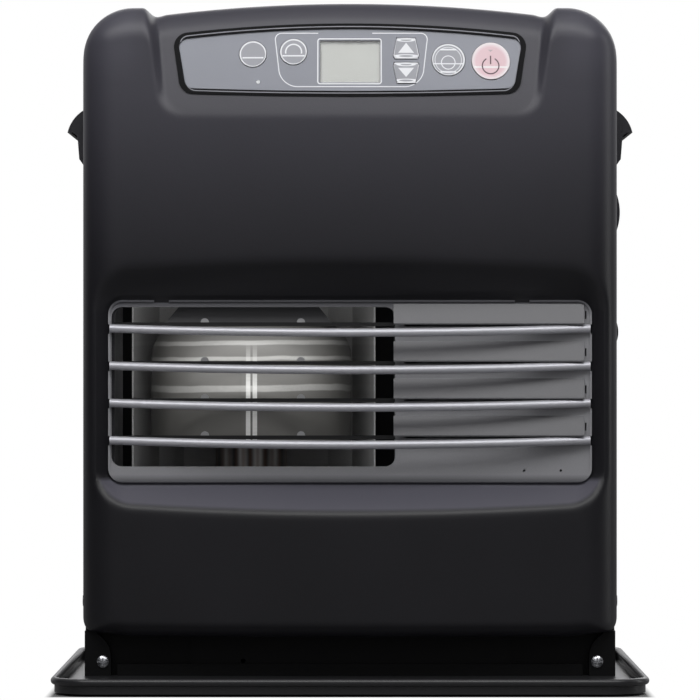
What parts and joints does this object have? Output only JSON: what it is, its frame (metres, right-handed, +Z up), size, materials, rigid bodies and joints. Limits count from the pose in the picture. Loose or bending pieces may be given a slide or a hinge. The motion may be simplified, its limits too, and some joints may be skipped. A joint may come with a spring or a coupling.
{
  "type": "paraffin heater",
  "caption": "Fan-forced paraffin heater: bowed steel cabinet on a drip tray, recessed barred grille, leaning control panel, lift-out fuel tank under a hinged hatch.",
  "frame": {"origin": "centre of the footprint on the floor, under the drip tray", "axes": "+Z up; +X to the right as seen from the front; the front faces -Y"},
  "size_m": [0.371, 0.299, 0.4325],
  "materials": {
    "tray_paint": "satin black paint",
    "foot_rubber": "matte black rubber",
    "base_paint": "matte black paint",
    "front_paint": "fine matte charcoal powder paint",
    "side_paint": "fine matte charcoal powder paint",
    "back_paint": "matte grey paint",
    "lid_plastic": "fine grained charcoal plastic",
    "grip_plastic": "fine grained charcoal plastic",
    "bezel_plastic": "gloss black plastic",
    "fascia_silver": "satin silver-grey print on plastic",
    "lcd_clear": "clear plastic display window",
    "lcd_grey": "pale grey display",
    "board_green": "green circuit board",
    "led_clear": "frosted clear plastic",
    "power_key_plastic": "pale pink-white plastic",
    "grille_paint": "satin grey paint",
    "bar_steel": "satin plated steel",
    "slat_paint": "heat-proof black paint",
    "clip_steel": "bright plated steel",
    "galvanised": "galvanised steel sheet",
    "reflector_steel": "polished steel sheet",
    "drum_steel": "polished heat-tinted steel",
    "pot_steel": "heat-stained steel",
    "ceramic": "glazed ceramic",
    "motor_steel": "dark lacquered steel",
    "fan_alloy": "plain aluminium",
    "guard_plastic": "charcoal plastic",
    "filter_plastic": "dark grey plastic mesh",
    "tank_steel": "zinc-grey lacquered steel",
    "cap_brass": "yellow-passivated steel",
    "pump_steel": "plated steel",
    "copper": "drawn copper",
    "core_steel": "varnished steel laminations",
    "sensor_plastic": "white plastic",
    "screw_zinc": "bright zinc",
    "screw_dark": "black oxide",
    "key_plastic": "satin grey plastic"
  },
  "bodies": {
    "cabinet": {"base_tray": "tray_paint", "rubber_feet": "foot_rubber", "base_frame": "base_paint", "front_panel": "front_paint", "side_panel_left": "side_paint", "side_panel_right": "side_paint", "back_panel": "back_paint", "top_cover": "side_paint", "left_grip": "grip_plastic", "right_grip": "grip_plastic", "console_bezel": "bezel_plastic", "console_fascia": "fascia_silver", "lcd_window": "lcd_clear", "lcd_module": "lcd_grey", "control_board": "board_green", "led_lens": "led_clear", "grille_frame": "grille_paint", "louvre_blades": "grille_paint", "grille_bars": "bar_steel", "guard_slats": "slat_paint", "slat_clips": "clip_steel", "chamber_shroud": "galvanised", "chamber_floor": "galvanised", "reflector": "reflector_steel", "burner_drum": "drum_steel", "burner_neck": "drum_steel", "burner_pot": "pot_steel", "igniter": "ceramic", "flame_sensor": "ceramic", "blower_housing": "galvanised", "blower_motor": "motor_steel", "fan_motor": "motor_steel", "fan_guard": "guard_plastic", "sump_tank": "tank_steel", "strainer": "clip_steel", "fuel_pump": "pump_steel", "fuel_pipe": "copper", "electronics_shelf": "galvanised", "power_board": "board_green", "transformer": "core_steel", "cord_gland": "foot_rubber", "room_sensor": "sensor_plastic", "tilt_switch": "sensor_plastic", "overheat_thermostat": "ceramic", "front_screws": "screw_zinc", "case_screws": "screw_dark", "rear_spacers": "side_paint"},
    "hatch": {"hatch_lid": "lid_plastic"},
    "tank": {"fuel_tank": "tank_steel", "tank_cap": "cap_brass"},
    "handle": {"tank_handle": "clip_steel"},
    "fan": {"fan_blade": "fan_alloy"},
    "blower": {"blower_wheel": "fan_alloy"},
    "filter": {"fan_filter": "filter_plastic"},
    "key_timer": {"key_timer": "key_plastic"},
    "key_save": {"key_save": "key_plastic"},
    "key_up": {"key_up": "key_plastic"},
    "key_down": {"key_down": "key_plastic"},
    "key_lock": {"key_lock": "key_plastic"},
    "key_power": {"key_power": "power_key_plastic"}
  },
  "joints": [
    {"name": "hatch_hinge", "type": "hinge", "parent": "cabinet", "child": "hatch", "pos_m": [0.08185, 0.098, 0.418], "axis": [-1, 0, 0], "range_deg": [0, 100]},
    {"name": "tank_lift", "type": "slide", "parent": "cabinet", "child": "tank", "axis": [0, 0, 1], "range_m": [0, 0.079]},
    {"name": "handle_hinge", "type": "hinge", "parent": "tank", "child": "handle", "pos_m": [0.08185, 0.014, 0.395], "axis": [-1, 0, 0], "range_deg": [0, 90.5]},
    {"name": "fan_spin", "type": "hinge", "parent": "cabinet", "child": "fan", "pos_m": [-0.058, 0.0865, 0.205], "axis": [0, 1, 0], "continuous": true},
    {"name": "blower_spin", "type": "hinge", "parent": "cabinet", "child": "blower", "pos_m": [-0.1145, -0.023, 0.03], "axis": [0, 0, 1], "continuous": true},
    {"name": "filter_slide", "type": "slide", "parent": "cabinet", "child": "filter", "axis": [0, 0, 1], "range_m": [0, 0.06]},
    {"name": "key_timer_press", "type": "slide", "parent": "cabinet", "child": "key_timer", "axis": [0.0419, 0.9772, -0.2079], "range_m": [0, 0.0008], "stiffness_N_per_m": 600},
    {"name": "key_save_press", "type": "slide", "parent": "cabinet", "child": "key_save", "axis": [0.0244, 0.9778, -0.2079], "range_m": [0, 0.0008], "stiffness_N_per_m": 600},
    {"name": "key_up_press", "type": "slide", "parent": "cabinet", "child": "key_up", "axis": [-0.0242, 0.9778, -0.2079], "range_m": [0, 0.0008], "stiffness_N_per_m": 600},
    {"name": "key_down_press", "type": "slide", "parent": "cabinet", "child": "key_down", "axis": [-0.0242, 0.9778, -0.2079], "range_m": [0, 0.0008], "stiffness_N_per_m": 600},
    {"name": "key_lock_press", "type": "slide", "parent": "cabinet", "child": "key_lock", "axis": [-0.0424, 0.9772, -0.2079], "range_m": [0, 0.0008], "stiffness_N_per_m": 600},
    {"name": "key_power_press", "type": "slide", "parent": "cabinet", "child": "key_power", "axis": [-0.0607, 0.9763, -0.2079], "range_m": [0, 0.0008], "stiffness_N_per_m": 600}
  ],
  "couplings": [
    {"joint": "tank_lift", "follows": "hatch_hinge", "m_per_rad": 0.045},
    {"joint": "handle_hinge", "follows": "hatch_hinge", "ratio": 0.9}
  ]
}
